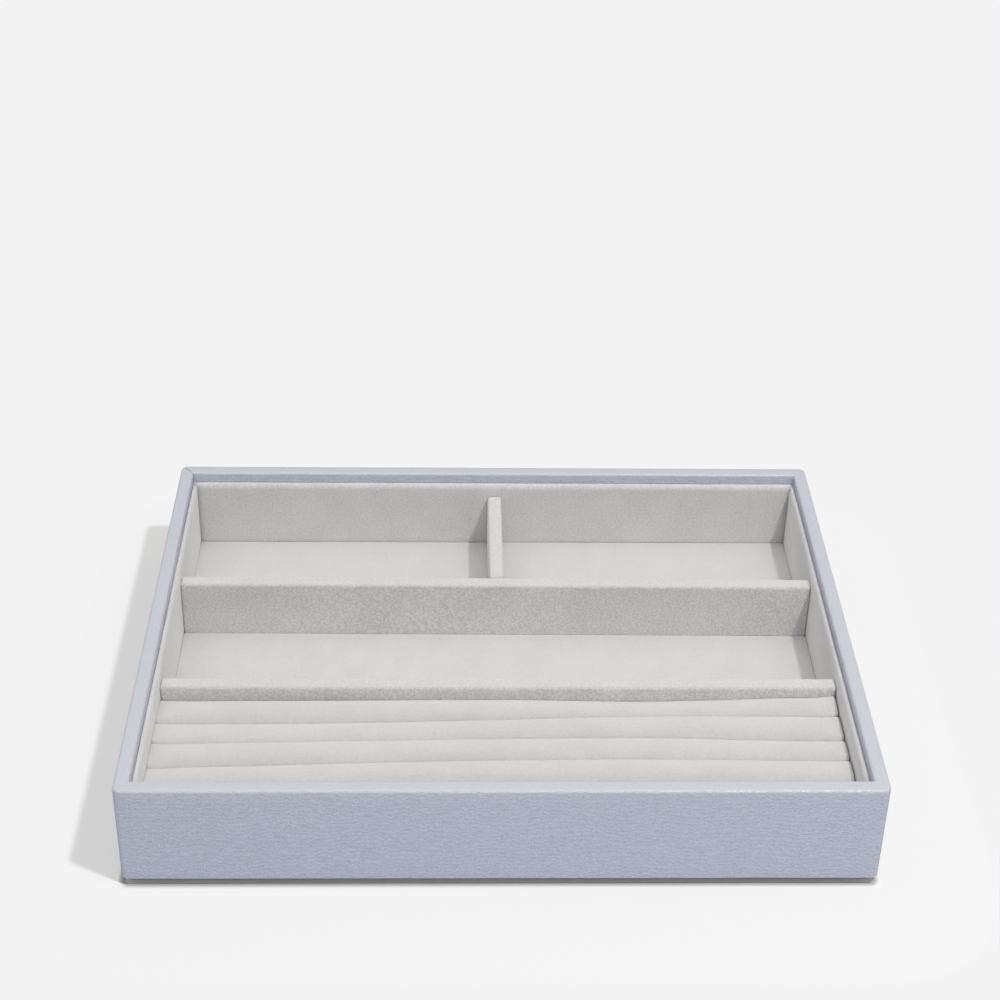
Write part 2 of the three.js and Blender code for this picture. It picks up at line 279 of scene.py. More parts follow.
def makeLeatherette():
    look = leatheretteLook
    material, tree, shader = newMaterial("leatherette")
    strip = addNode(tree, "ShaderNodeAttribute", attribute_name="stripPlace").outputs["Vector"]
    onRim = addNode(tree, "ShaderNodeAttribute", attribute_name="rimShare").outputs["Fac"]
    inSeam = addNode(tree, "ShaderNodeAttribute", attribute_name="seamShare").outputs["Fac"]
    along, across = look["bends"]
    scaled = addNode(tree, "ShaderNodeMapping", {"Vector": strip, "Scale": (1 / along, 1 / across, 1.0)})

    def noiseOver(place, scale, detail):
        inputs = {"Vector": place, "Scale": scale, "Detail": detail}
        return addNode(tree, "ShaderNodeTexNoise", inputs).outputs["Fac"]

    bends = noiseOver(scaled.outputs[0], 1.0, 1.0)
    pebbles = noiseOver(strip, look["pebbles"], 1.0)
    dots = noiseOver(strip, look["dots"], 2.0)
    sway = noiseOver(strip, look["sway"], 0.0)
    height = addNode(tree, "ShaderNodeSeparateXYZ", {0: strip}).outputs["Y"]
    height = math2(tree, "ADD", height, math2(tree, "MULTIPLY", sway, look["swayDepth"]))
    turn = math2(tree, "MULTIPLY", height, 2 * math.pi / look["ripple"])
    turn = math2(tree, "ADD", turn, math2(tree, "MULTIPLY", bends, look["bending"]))
    wave = addNode(tree, "ShaderNodeMath", {0: turn}, operation="SINE").outputs[0]
    whole = remap(tree, dots, *look["breaks"])
    ripple = math2(tree, "MULTIPLY", wave, math2(tree, "MULTIPLY", whole, look["rippleShare"]))
    relief = math2(tree, "ADD", ripple, math2(tree, "MULTIPLY", pebbles, look["pebbleShare"]))
    middle = look["pebbleShare"] / 2
    grain = remap(tree, relief, middle - 0.5, middle + 0.5)
    color = mixColors(tree, grain, linear(*look["pit"]), linear(*look["face"]))
    # Painted sheen: upward faces of the rim are mixed towards the greyer rim colour
    rimSheenMix = math2(tree, "MULTIPLY", onRim, look["rimSheen"])
    color = mixColors(tree, rimSheenMix, color, linear(*look["rim"]))
    onRound = math2(tree, "MULTIPLY", onRim, math2(tree, "SUBTRACT", 1.0, onRim))
    shiny = remap(tree, dots, *look["dotEdges"])
    shiny = math2(tree, "MULTIPLY", shiny, remap(tree, onRound, *look["roundEdges"]))
    # Painted highlight: besides the real coat, the shiny dots on the rounds are mixed towards a cream
    # colour
    color = mixColors(tree, math2(tree, "MULTIPLY", shiny, look["glintPaintShare"]), color, linear(*look["dot"]))
    color = mixColors(tree, inSeam, color, linear(*look["seam"]))
    tree.links.new(color, shader.inputs["Base Color"])
    tree.links.new(shiny, shader.inputs["Coat Weight"])
    shader.inputs["Coat Roughness"].default_value = look["dotRoughness"]
    shader.inputs["Coat IOR"].default_value = look["dotIor"]
    shader.inputs["Roughness"].default_value = look["roughness"]
    shader.inputs["Specular Tint"].default_value = (*look["gloss"], 1.0)
    pressed = math2(tree, "SUBTRACT", 1.0, math2(tree, "MULTIPLY", onRim, look["rimPress"]))
    addBump(tree, shader, math2(tree, "MULTIPLY", relief, pressed), look["bump"], look["bumpDepth"])
    return material


leatherette = makeLeatherette()

# Covered boards: pressed fibre and pulp, flecked light and dark
boardLooks = {
    "fibreboard": {"dark": (150, 118, 80), "light": (190, 158, 114), "flecks": 900.0},
    "greyboard": {"dark": (132, 127, 119), "light": (170, 165, 156), "flecks": 700.0},
}
boardSurface = {"chipShare": 0.4, "cloudShare": 0.6, "cloudDetail": 5.0, "bump": 0.3, "bumpDepth": 0.0001,
                "roughness": 0.85}


def makeFleckGroup():
    group, put, out = newGroup("flecks", [("Vector", "Vector"), ("Flecks", "Float")],
                               [("Shade", "Float"), ("Height", "Float")])
    place = {"Vector": put.outputs["Vector"], "Scale": put.outputs["Flecks"]}
    chips = addNode(group, "ShaderNodeTexVoronoi", place)
    cloud = addNode(group, "ShaderNodeTexNoise", {**place, "Detail": boardSurface["cloudDetail"]})
    fleck = addNode(group, "ShaderNodeSeparateColor", {"Color": chips.outputs["Color"]})
    chipShade = math2(group, "MULTIPLY", fleck.outputs[0], boardSurface["chipShare"])
    cloudShade = math2(group, "MULTIPLY", cloud.outputs["Fac"], boardSurface["cloudShare"])
    group.links.new(math2(group, "ADD", chipShade, cloudShade), out.inputs["Shade"])
    group.links.new(cloud.outputs["Fac"], out.inputs["Height"])
    return group


fleckGroup = makeFleckGroup()


def makeBoard(name):
    look = boardLooks[name]
    material, tree, shader = newMaterial(name)
    coord = addNode(tree, "ShaderNodeTexCoord")
    flecks = addNode(tree, "ShaderNodeGroup", {"Vector": coord.outputs["Object"], "Flecks": look["flecks"]},
                     node_tree=fleckGroup)
    color = mixColors(tree, flecks.outputs["Shade"], linear(*look["dark"]), linear(*look["light"]))
    tree.links.new(color, shader.inputs["Base Color"])
    addBump(tree, shader, flecks.outputs["Height"], boardSurface["bump"], boardSurface["bumpDepth"])
    shader.inputs["Roughness"].default_value = boardSurface["roughness"]
    return material


# The felt's tone is guessed, and set warm and dark so that the shade seen under the front edge reads
# brownish, partly painted shade
feltLook = {"dark": (122, 111, 99), "light": (161, 149, 135), "fibresPerMetre": 900.0,
            "patchesPerMetre": 90.0, "patches": 0.35, "bump": 0.6, "bumpDepth": 0.0003,
            "roughness": 0.95, "sheen": 0.3}


def makeFelt():
    material, tree, shader = newMaterial("baseFelt")
    coord = addNode(tree, "ShaderNodeTexCoord")
    pile = addNode(tree, "ShaderNodeGroup", {
        "Vector": coord.outputs["Object"], "Fibre Scale": feltLook["fibresPerMetre"],
        "Patch Scale": feltLook["patchesPerMetre"], "Patch Share": feltLook["patches"]},
        node_tree=pileGroup)
    color = mixColors(tree, pile.outputs["Shade"], linear(*feltLook["dark"]), linear(*feltLook["light"]))
    tree.links.new(color, shader.inputs["Base Color"])
    addBump(tree, shader, pile.outputs["Height"], feltLook["bump"], feltLook["bumpDepth"])
    shader.inputs["Roughness"].default_value = feltLook["roughness"]
    shader.inputs["Sheen Weight"].default_value = feltLook["sheen"]
    return material


boards = {name: makeBoard(name) for name in boardLooks}
felt = makeFelt()
print("materials made")


# Leatherette wrap: one strip over the outside, the rim and the top of the inside, hemmed underneath
wrap = {"wall": 5.0, "turnIn": 14.0, "hem": 14.0, "cornerRadius": 2.5, "foldRadius": 0.25, "rimRadius": 0.9,
        "skin": 0.8, "cornerSteps": 7, "roundSteps": 5, "wallRows": 8, "innerRows": 3, "cutEvery": 5.0,
        "longEdge": 100.0, "wave": 0.05, "waveLength": 26.0, "seed": 3.1, "sideApart": 120.0,
        "seamWidth": 0.6, "seamDepth": 0.35, "seamReach": 16.0, "seamTouch": 0.08}


# A section of (inset, height) points swept round a rectangle with rounded corners: a circle's four
# quarters are moved out to the corners, and its edge is extruded from point to point
def sweepOutline(bm, low, high, section, cornerRadius, foldRadius, steps):
    def radiusAt(inset):
        return max(cornerRadius - inset, foldRadius)

    def centreOf(axis, ahead, inset):
        reach = inset + radiusAt(inset)
        return high[axis] - reach if ahead else low[axis] + reach

    halfStep = math.pi / (4 * steps)
    last, height = section[0]
    turned = Matrix.Translation((0, 0, height)) @ Matrix.Rotation(halfStep, 4, "Z")
    ring = bmesh.ops.create_circle(bm, radius=radiusAt(last) / math.cos(halfStep), segments=4 * steps,
                                   matrix=turned)
    for vert in ring["verts"]:
        for axis in (0, 1):
            vert.co[axis] += centreOf(axis, vert.co[axis] > 0, last)
    loop = list({edge for vert in ring["verts"] for edge in vert.link_edges})
    loops = [loop]
    for inset, height in section[1:]:
        made = bmesh.ops.extrude_edge_only(bm, edges=loop)["geom"]
        fresh = {item for item in made if isinstance(item, bmesh.types.BMVert)}
        for vert in fresh:
            for axis in (0, 1):
                ahead = vert.co[axis] > 0
                fromCentre = vert.co[axis] - centreOf(axis, ahead, last)
                vert.co[axis] = centreOf(axis, ahead, inset) + fromCentre * radiusAt(inset) / radiusAt(last)
            vert.co.z = height
        loop = [item for item in made
                if isinstance(item, bmesh.types.BMEdge) and fresh.issuperset(item.verts)]
        loops.append(loop)
        last = inset
    return loops


def quarterRound(inset, height, radius, fromTurn, steps):
    points = []
    for step in range(steps + 1):
        angle = (fromTurn - step / steps) * math.pi / 2
        points.append((inset + radius * math.cos(angle), height + radius * math.sin(angle)))
    return points


def wrapSection(bottom, top):
    radius, wall = wrap["rimRadius"], wrap["wall"]
    low, high = bottom + radius, top - radius
    section = [(wrap["hem"], bottom), (wrap["hem"] / 2, bottom)]
    section += quarterRound(radius, low, radius, 3, wrap["roundSteps"])
    for row in range(1, wrap["wallRows"]):
        section.append((0.0, low + (high - low) * row / wrap["wallRows"]))
    section += quarterRound(radius, high, radius, 2, wrap["roundSteps"])
    section += quarterRound(wall - radius, high, radius, 1, wrap["roundSteps"])
    end = top - wrap["turnIn"]
    for row in range(1, wrap["innerRows"] + 1):
        section.append((wall, high + (end - high) * row / wrap["innerRows"]))
    return section


# Place on the strip: along the tray's edge, and across from the hem up and over the rim,
# with opposite sides set apart so that their grain differs
def stripPlace(point, low, high):
    fromX = min(point.x - low.x, high.x - point.x)
    fromY = min(point.y - low.y, high.y - point.y)
    inset = min(fromX, fromY)
    along = point.x if fromY <= fromX else point.y + 2 * high.x
    if point.z < low.z + wrap["rimRadius"]:
        across = point.z - low.z - inset
    elif inset < wrap["wall"] / 2:
        across = point.z - low.z + inset
    else:
        across = high.z - low.z + inset + (high.z - point.z)
    onFar = point.y > 0 if fromY <= fromX else point.x > 0
    return Vector((along, across, wrap["sideApart"] if onFar else 0.0))


def addWrap():
    low, high = boxOf("leatherette_wrap")
    bm = bmesh.new()
    section = wrapSection(low.z, high.z)
    sweepOutline(bm, low, high, section, wrap["cornerRadius"], wrap["foldRadius"], wrap["cornerSteps"])
    for axis in (0, 1):
        cutEdges(bm, edgesAlong(bm, axis, longer=wrap["longEdge"]), wrap["cutEvery"])
    unevenFaces(bm, wrap["wave"], wrap["waveLength"], wrap["seed"])
    corner = Vector((low.x, high.y, 0))
    across = Vector((1, 1, 0)).normalized()  # square to the mitre of the back left corner
    for side in (-1, 1):
        near = [vert for vert in bm.verts if (vert.co - corner).xy.length < wrap["seamReach"]]
        faces = {face for vert in near for face in vert.link_faces}
        edges = {edge for vert in near for edge in vert.link_edges}
        bmesh.ops.bisect_plane(bm, geom=[*near, *faces, *edges],
                               plane_co=corner + across * side * wrap["seamWidth"] / 2, plane_no=across)
    bm.normal_update()
    stripLayer = bm.verts.layers.float_vector.new("stripPlace")
    rimLayer = bm.verts.layers.float.new("rimShare")
    seamLayer = bm.verts.layers.float.new("seamShare")
    for vert in bm.verts:
        vert[rimLayer] = max(vert.normal.z, 0.0)
        offset = vert.co - corner
        inReach = offset.xy.length < wrap["seamReach"] + wrap["hem"]
        if inReach and abs(offset.dot(across)) < wrap["seamTouch"]:
            vert.co -= vert.normal * wrap["seamDepth"]
            vert[seamLayer] = 1.0
        vert[stripLayer] = stripPlace(vert.co, low, high)
    piece = finishPiece("leatheretteWrap", bm, leatherette, ["leatherette_wrap"],
                        wrap["skin"])


addWrap()
print("leatherette wrap made")

# Lining velvet: up the face of each card, over its round top and some way down its back
# Each side has the axis it runs along, its outward sign, the width and height of the crown's slope
# and the round of its outer edge
lining = {"velvet": 0.5, "returnLength": 10.0, "roundSteps": 6, "cutEvery": 4.0, "rowEvery": 4.0,
          "longEdge": 50.0, "tallEdge": 20.0, "wave": 0.05, "waveLength": 17.0, "closeUp": 0.28,
          "seed": 5.3, "seedStep": 1.7,
          "sides": {"back": (0, 1, 1.5, 2.2, 0.8), "front": (0, -1, 1.5, 2.2, 0.8),
                    "right": (1, 1, 1.0, 2.9, 0.3), "left": (1, -1, 1.0, 2.9, 0.3)}}


def addLining(side, runAxis, sign, slopeWidth, slopeHeight, backRound, seed):
    low, high = boxOf(f"{side}_lining_velvet")
    acrossAxis = 1 - runAxis
    if runAxis == 1:  # the sides fit between the front and the back
        low.y -= lining["closeUp"]
        high.y += lining["closeUp"]
    inner, outer = (low, high) if sign > 0 else (high, low)
    corners = [(inner, low.z), (inner, high.z), (outer, high.z), (outer, high.z - lining["returnLength"])]
    bm = bmesh.new()
    chain = []
    for place, height in corners:
        vert = bm.verts.new()
        vert.co[runAxis] = low[runAxis]
        vert.co[acrossAxis] = place[acrossAxis]
        vert.co.z = height
        chain.append(vert)
    edges = [bm.edges.new(pair) for pair in zip(chain, chain[1:])]
    made = bmesh.ops.extrude_edge_only(bm, edges=edges)["geom"]
    run = Vector((0, 0, 0))
    run[runAxis] = high[runAxis] - low[runAxis]
    bmesh.ops.translate(bm, vec=run, verts=[item for item in made if isinstance(item, bmesh.types.BMVert)])
    for place, radius in ((inner, slopeWidth), (outer, backRound)):
        starts = [(edge, edge.verts[0].co) for edge in edgesAlong(bm, runAxis)]
        top = [edge for edge, start in starts if start.z > high.z - close
               and abs(start[acrossAxis] - place[acrossAxis]) < close]
        roundEdges(bm, top, radius, lining["roundSteps"])
    for vert in bm.verts:  # the crown falls away slowly towards the tray's inside
        drop = high.z - vert.co.z
        fromInside = abs(vert.co[acrossAxis] - inner[acrossAxis])
        if drop < slopeWidth + close and fromInside < slopeWidth + close:
            vert.co.z = high.z - drop * slopeHeight / slopeWidth
    cutEdges(bm, edgesAlong(bm, runAxis, longer=lining["longEdge"]), lining["cutEvery"])
    cutEdges(bm, edgesAlong(bm, 2, longer=lining["tallEdge"]), lining["rowEvery"])
    unevenFaces(bm, lining["wave"], lining["waveLength"], seed)
    piece = finishPiece(f"{side}LiningVelvet", bm, velvet["velvetWall"],
                        [f"{side}_lining_velvet"], lining["velvet"])


for number, (side, form) in enumerate(lining["sides"].items()):
    addLining(side, *form, lining["seed"] + lining["seedStep"] * number)
print("linings made")

# Divider covers: velvet closed round both ends, open underneath
# Each form has the round of its top, and how far its right end stands towards the back
divider = {"velvet": 0.5, "endRadius": 1.1, "roundSteps": 6, "cutEvery": 3.0, "rowEvery": 3.0,
           "longEdge": 20.0, "tallEdge": 15.0, "wave": 0.08, "waveLength": 15.0, "closeUp": 0.28,
           "seed": 13.9, "seedStep": 2.3,
           "forms": {"rear": (1.6, -0.55), "front": (2.3, 0.0), "short": (1.6, 0.0)}}


def addDivider(place, topRadius, skew, seed):
    low, high = boxOf(f"{place}_divider_velvet")
    size = high - low
    runAxis = 0 if size.x > size.y else 1
    low[runAxis] -= divider["closeUp"]
    high[runAxis] += divider["closeUp"]
    bm = bmesh.new()
    cubeIn(bm, low, high)
    openUnderneath(bm)
    roundEdges(bm, edgesAlong(bm, 2), divider["endRadius"], divider["roundSteps"])
    roundEdges(bm, edgesOnTop(bm, high.z), topRadius, divider["roundSteps"])
    cutEdges(bm, edgesAlong(bm, runAxis, longer=divider["longEdge"]), divider["cutEvery"])
    cutEdges(bm, edgesAlong(bm, 2, longer=divider["tallEdge"]), divider["rowEvery"])
    for vert in bm.verts:
        vert.co.y += skew * vert.co.x / high.x
    unevenFaces(bm, divider["wave"], divider["waveLength"], seed)
    piece = finishPiece(f"{place}DividerVelvet", bm, velvet["velvetDivider"],
                        [f"{place}_divider_velvet"], divider["velvet"])


for number, (place, form) in enumerate(divider["forms"].items()):
    addDivider(place, *form, divider["seed"] + divider["seedStep"] * number)
print("dividers made")

# Floor pads: velvet over a card, turned down at its edges
# Each bay has its name, and how far the right ends of its front and back edges stand towards the back,
# beside the skewed divider
floorPad = {"velvet": 0.5, "edgeRadius": 0.15, "roundSteps": 3, "cutEvery": 4.0, "longEdge": 20.0,
            "wave": 0.06, "waveLength": 24.0, "seed": 21.1, "seedStep": 3.7, "closeUp": 0.28,
            "bays": {"rear_left": ("rearLeft", -0.55, 0.0), "rear_right": ("rearRight", -0.55, 0.0),
                     "middle": ("middle", 0.0, -0.55)}}


def addFloorPad(bay, name, frontSkew, backSkew, seed):
    low, high = boxOf(f"{bay}_floor_velvet")
    low.xy -= Vector((floorPad["closeUp"], floorPad["closeUp"]))
    high.xy += Vector((floorPad["closeUp"], floorPad["closeUp"]))
    size = high - low
    bm = bmesh.new()
    cubeIn(bm, low, high)
    openUnderneath(bm)
    roundEdges(bm, edgesOnTop(bm, high.z), floorPad["edgeRadius"], floorPad["roundSteps"])
    for axis in (0, 1):
        cutEdges(bm, edgesAlong(bm, axis, longer=floorPad["longEdge"]), floorPad["cutEvery"])
    reach = boxOf("middle_floor_velvet")[1].x
    for vert in bm.verts:
        t = (vert.co.y - low.y) / size.y
        vert.co.y += (frontSkew + (backSkew - frontSkew) * t) * vert.co.x / reach
    unevenFaces(bm, floorPad["wave"], floorPad["waveLength"], seed)
    piece = finishPiece(f"{name}FloorVelvet", bm, velvet["velvetFloor"],
                        [f"{bay}_floor_velvet"], floorPad["velvet"])


for number, (bay, form) in enumerate(floorPad["bays"].items()):
    addFloorPad(bay, *form, floorPad["seed"] + floorPad["seedStep"] * number)
print("floor pads made")

# Ring rolls: foam in velvet, pressed against each other along creases
ringRolls = {"count": 5, "backRadius": 1.2, "frontRadius": 2.4, "leftRadius": 0.4, "rightRadius": 0.9,
             "shoulderSteps": 6, "endSteps": 3, "cutEvery": 2.5, "longEdge": 50.0, "rowEvery": 2.0,
             "rowEdge": 4.0, "leftRoom": 0.02, "rightRoom": 0.45, "touch": 0.03, "slack": 0.2, "rise": 0.1,
             "fill": 0.9}
# Creases from back to front: how far each drifts towards the back, and the first roll's back edge upwards,
# at five places across the bay, and how far each turns towards the front at its two ends
creases = {"drift": [(0.0, 0.0, 0.0, 0.0, 0.0), (-2.25, -1.55, 0.05, 1.6, 1.8),
                     (-1.5, -0.35, 0.7, 1.25, -0.15), (-2.5, -0.7, 0.65, 1.1, 0.5),
                     (-1.2, -0.3, 0.3, 0.6, 0.3), (0.0, 0.0, 0.0, 0.0, 0.0)],
           "driftReach": 100.0, "firstLift": (-1.35, -0.9, -0.3, -1.3, 1.3),
           "endStart": 95.0, "endReach": 23.0,
           "leftTurn": (0.0, 0.55, 0.95, 2.0, 1.5, 0.0), "rightTurn": (0.0, 1.05, 0.95, 0.95, 0.9, 0.0)}
# Foam pressure: the roll is blown up at a larger scale, with its lower part held
swelling = {"scale": 0.05, "pressure": 6.0, "frames": 20, "heldBelow": 9.0, "cap": 1.2}


# A smooth curve through values spread evenly from one end of the reach to the other
def driftAt(values, x):
    last = len(values) - 1
    place = min(max((x / creases["driftReach"] + 1) / 2, 0.0), 1.0) * last
    first = min(int(place), last - 1)
    t = place - first
    before, start, end, after = [values[min(max(first + step, 0), last)] for step in (-1, 0, 1, 2)]
    bend = 2 * before - 5 * start + 4 * end - after + t * (3 * (start - end) + after - before)
    return start + t / 2 * (end - before + t * bend)


def creaseLine(crease, x, bayBack, pitch):
    turned = creases["leftTurn" if x < 0 else "rightTurn"][crease]
    beyond = max(abs(x) - creases["endStart"], 0.0) / creases["endReach"]
    return bayBack - crease * pitch + driftAt(creases["drift"][crease], x) - turned * beyond ** 2


def swell(bm, heldBelow):
    scale, frames = swelling["scale"], swelling["frames"]
    mesh = bpy.data.meshes.new("swelling")
    bm.to_mesh(mesh)
    mesh.transform(Matrix.Scale(scale, 4))
    pad = bpy.data.objects.new("swelling", mesh)
    scene.collection.objects.link(pad)
    held = pad.vertex_groups.new(name="held")
    held.add([vert.index for vert in mesh.vertices if vert.co.z < heldBelow * scale], 1.0, "REPLACE")
    cloth = pad.modifiers.new("cloth", "CLOTH")
    cloth.settings.vertex_group_mass = "held"
    cloth.settings.use_pressure = True
    cloth.settings.uniform_pressure_force = swelling["pressure"]
    cloth.settings.effector_weights.gravity = 0.0
    cloth.point_cache.frame_start = 1
    cloth.point_cache.frame_end = frames
    for step in range(1, frames + 1):
        scene.frame_set(step)
    swollen = pad.evaluated_get(bpy.context.evaluated_depsgraph_get()).data
    moves = [after.co / scale - vert.co for vert, after in zip(bm.verts, swollen.vertices)]
    bpy.data.objects.remove(pad)
    bpy.data.meshes.remove(mesh)
    scene.frame_set(1)
    for vert, move in zip(bm.verts, moves):
        vert.co += move * min(1.0, swelling["cap"] / max(move.length, 1e-6))
    print("  swelling moved points by up to", round(max(move.length for move in moves), 2), "mm")


def addRoll(number):
    bayBack = boxOf("front_divider_velvet")[0].y
    bayFront = boxOf("front_lining_velvet")[1].y
    pitch = (bayBack - bayFront) / ringRolls["count"]
    low, high = boxOf(f"ring_roll_velvet_{number}")
    low.x = boxOf("left_lining_velvet")[1].x + ringRolls["leftRoom"]
    high.x = boxOf("right_lining_velvet")[0].x - ringRolls["rightRoom"]
    low.y, high.y = -pitch / 2, pitch / 2
    full = high.z
    high.z += ringRolls["rise"]
    bm = bmesh.new()
    cubeIn(bm, low, high)
    for side, radius in ((high.y, ringRolls["backRadius"]), (low.y, ringRolls["frontRadius"])):
        starts = [(edge, edge.verts[0].co) for edge in edgesAlong(bm, 0)]
        crest = [edge for edge, start in starts if start.z > high.z - close and abs(start.y - side) < close]
        roundEdges(bm, crest, radius, ringRolls["shoulderSteps"])
    for side, radius in ((low.x, ringRolls["leftRadius"]), (high.x, ringRolls["rightRadius"])):
        end = [edge for edge in bm.edges if all(abs(vert.co.x - side) < close for vert in edge.verts)
               and max(vert.co.z for vert in edge.verts) > low.z + close]
        roundEdges(bm, end, radius, ringRolls["endSteps"])
    cutEdges(bm, edgesAlong(bm, 0, longer=ringRolls["longEdge"]), ringRolls["cutEvery"])
    for axis in (1, 2):
        cutEdges(bm, edgesAlong(bm, axis, longer=ringRolls["rowEdge"]), ringRolls["rowEvery"])

    def limits(x):
        return (creaseLine(number - 1, x, bayBack, pitch) - ringRolls["touch"],
                creaseLine(number, x, bayBack, pitch) + ringRolls["touch"])

    for vert in bm.verts:
        back, front = limits(vert.co.x)
        narrowed = (back - front) / 2 - ringRolls["slack"]
        t = 2 * vert.co.y / pitch
        vert.co.y = (back + front) / 2 + t * narrowed
        if number == 1 and vert.co.z > full - swelling["heldBelow"]:
            vert.co.z += driftAt(creases["firstLift"], vert.co.x) * (1 + t) / 2
    bmesh.ops.recalc_face_normals(bm, faces=bm.faces)
    swell(bm, full - swelling["heldBelow"])
    for vert in bm.verts:
        back, front = limits(vert.co.x)
        vert.co.y = min(max(vert.co.y, front), back)
        vert.co.x = min(max(vert.co.x, low.x), high.x)
    piece = finishPiece(f"ringRoll{number}", bm, velvet["velvetRoll"],
                        [f"ring_roll_velvet_{number}", f"ring_roll_core_{number}"])
    smoother = piece.modifiers.new("smoother", "SUBSURF")
    smoother.levels = smoother.render_levels = 1


for number in range(1, ringRolls["count"] + 1):
    addRoll(number)
print("ring rolls made")

# Felt under the plinth, with its cut edge a little soft
basePad = {"cornerRadius": 2.5, "edgeRadius": 0.25, "cornerSteps": 7}


def addBaseFelt():
    low, high = boxOf("base_felt")
    radius, soft = basePad["cornerRadius"], basePad["edgeRadius"]
    section = [(soft, low.z), (0.0, low.z + soft), (0.0, high.z - soft), (soft, high.z)]
    bm = bmesh.new()
    loops = sweepOutline(bm, low, high, section, radius, soft, basePad["cornerSteps"])
    for rim in (loops[0], loops[-1]):
        bmesh.ops.edgeloop_fill(bm, edges=rim)
    bmesh.ops.recalc_face_normals(bm, faces=bm.faces)
    piece = finishPiece("baseFelt", bm, felt, ["base_felt"])


addBaseFelt()

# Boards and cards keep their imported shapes
for subpart in frame["record"]["subparts"]:
    if subpart["material_slot"] in boards:
        node = nodes[subpart["node"]]
        node.data.materials.clear()
        node.data.materials.append(boards[subpart["material_slot"]])
print("felt made, boards finished")

# Floor, light and camera, with distances in metres
stageLook = {"floorColor": (244, 244, 244), "floorHalf": 4.0, "floorBounce": 0.6, "paint": (246, 244, 240),
             "litGlow": 0.85, "shadeGlow": 0.43, "glowStart": 0.0006, "glowReach": 0.0018,
             "under": (240, 233, 220), "underEnd": -0.0014, "paintedShadow": (182, 178, 172),
             "paintedShadowStart": -0.0007, "paintedShadowReach": 0.0013, "evenStart": 0.021, "evenReach": 0.045}


# How much the floor glows, less on the tray's shaded sides than in front and on the right,
# and its colour, with a painted contact shadow darkest along the tray's foot and a painted warm tint in the
# shade under the tray's overhang
def floorMasks(tree):
    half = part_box("leatherette_wrap")[1]
    coord = addNode(tree, "ShaderNodeTexCoord")
    place = addNode(tree, "ShaderNodeSeparateXYZ", {0: coord.outputs["Object"]})
    right = math2(tree, "SUBTRACT", place.outputs["X"], half.x)
    left = math2(tree, "SUBTRACT", -half.x, place.outputs["X"])
    behind = math2(tree, "SUBTRACT", place.outputs["Y"], half.y)
    ahead = math2(tree, "SUBTRACT", -half.y, place.outputs["Y"])
    onLit = math2(tree, "MAXIMUM", right, ahead)
    onShaded = math2(tree, "MAXIMUM", left, behind)
    start, reach = stageLook["glowStart"], stageLook["glowReach"]
    lit = remap(tree, onLit, start, reach, 0.0, stageLook["litGlow"])
    shaded = remap(tree, onShaded, start, reach, 0.0, stageLook["shadeGlow"])
    corner = Vector((half.x - wrap["cornerRadius"] * mm, half.y - wrap["cornerRadius"] * mm, 0.0))
    folded = addNode(tree, "ShaderNodeVectorMath", {0: coord.outputs["Object"]}, operation="ABSOLUTE")
    beyond = vector2(tree, "SUBTRACT", folded.outputs[0], corner)
    beyond = vector2(tree, "MAXIMUM", beyond, (0.0, 0.0, 0.0))
    reached = addNode(tree, "ShaderNodeVectorMath", {0: beyond}, operation="LENGTH").outputs["Value"]
    rounded = math2(tree, "SUBTRACT", reached, wrap["cornerRadius"] * mm)  # from the tray's rounded outline
    outside = math2(tree, "MAXIMUM", rounded, math2(tree, "MAXIMUM", onLit, onShaded))
    # Painted contact shadow: the floor's colour darkens towards the tray's foot
    clear = remap(tree, outside, stageLook["paintedShadowStart"], stageLook["paintedShadowReach"])
    shadowPainted = mixColors(tree, clear, linear(*stageLook["paintedShadow"]), linear(*stageLook["paint"]))
    # Painted shade tint: deep under the overhang, where only shade falls, the floor is a warm off-white
    nearEdge = remap(tree, outside, stageLook["underEnd"], stageLook["paintedShadowStart"])
    shown = mixColors(tree, nearEdge, linear(*stageLook["under"]), shadowPainted)
    even = remap(tree, outside, stageLook["evenStart"], stageLook["evenReach"])
    return math2(tree, "MAXIMUM", even, math2(tree, "MAXIMUM", lit, shaded)), shown


def addFloor():
    bm = bmesh.new()
    bmesh.ops.create_grid(bm, x_segments=1, y_segments=1, size=stageLook["floorHalf"])
    mesh = bpy.data.meshes.new("stageFloor")
    bm.to_mesh(mesh)
    bm.free()
    floor = bpy.data.objects.new("stageFloor", mesh)
    scene.collection.objects.link(floor)
    material, tree, shader = newMaterial("stageFloor")
    tree.nodes.remove(shader)
    path = addNode(tree, "ShaderNodeLightPath")
    seen = math2(tree, "MAXIMUM", path.outputs["Is Camera Ray"], path.outputs["Is Glossy Ray"])
    seen = math2(tree, "MAXIMUM", seen, path.outputs["Is Transmission Ray"])
    white = linear(*stageLook["floorColor"])
    bounce = stageLook["floorBounce"]
    glowShare, shown = floorMasks(tree)
    paint = mixColors(tree, seen, (bounce, bounce, bounce, 1.0), shown)
    diffuse = addNode(tree, "ShaderNodeBsdfDiffuse", {"Color": paint})
    glow = addNode(tree, "ShaderNodeEmission", {"Color": white, "Strength": 1.0})
    share = math2(tree, "MULTIPLY", seen, glowShare)
    mixed = addNode(tree, "ShaderNodeMixShader", {0: share, 1: diffuse.outputs[0], 2: glow.outputs[0]})
    tree.links.new(mixed.outputs[0], tree.nodes["Material Output"].inputs["Surface"])
    mesh.materials.append(material)
    return floor


floor = addFloor()

lights = {"keyPlace": (0.31, -0.62, 0.97), "keyWatts": 4.7, "keyWidth": 0.06, "keyColor": (1.0, 0.97, 0.9),
          "fillPlace": (0.0, -0.2, 1.6), "fillWatts": 9.7, "fillColor": (1.0, 1.0, 1.0), "fillWidth": 2.4,
          "floorPlace": (0.376, -0.337, 1.126), "floorWatts": 8.3, "floorWidth": 0.069,
          "floorColor": (0.97, 1.0, 1.08),
          "skyLow": 0.27, "skyHigh": 0.72, "backdrop": (244, 244, 244)}


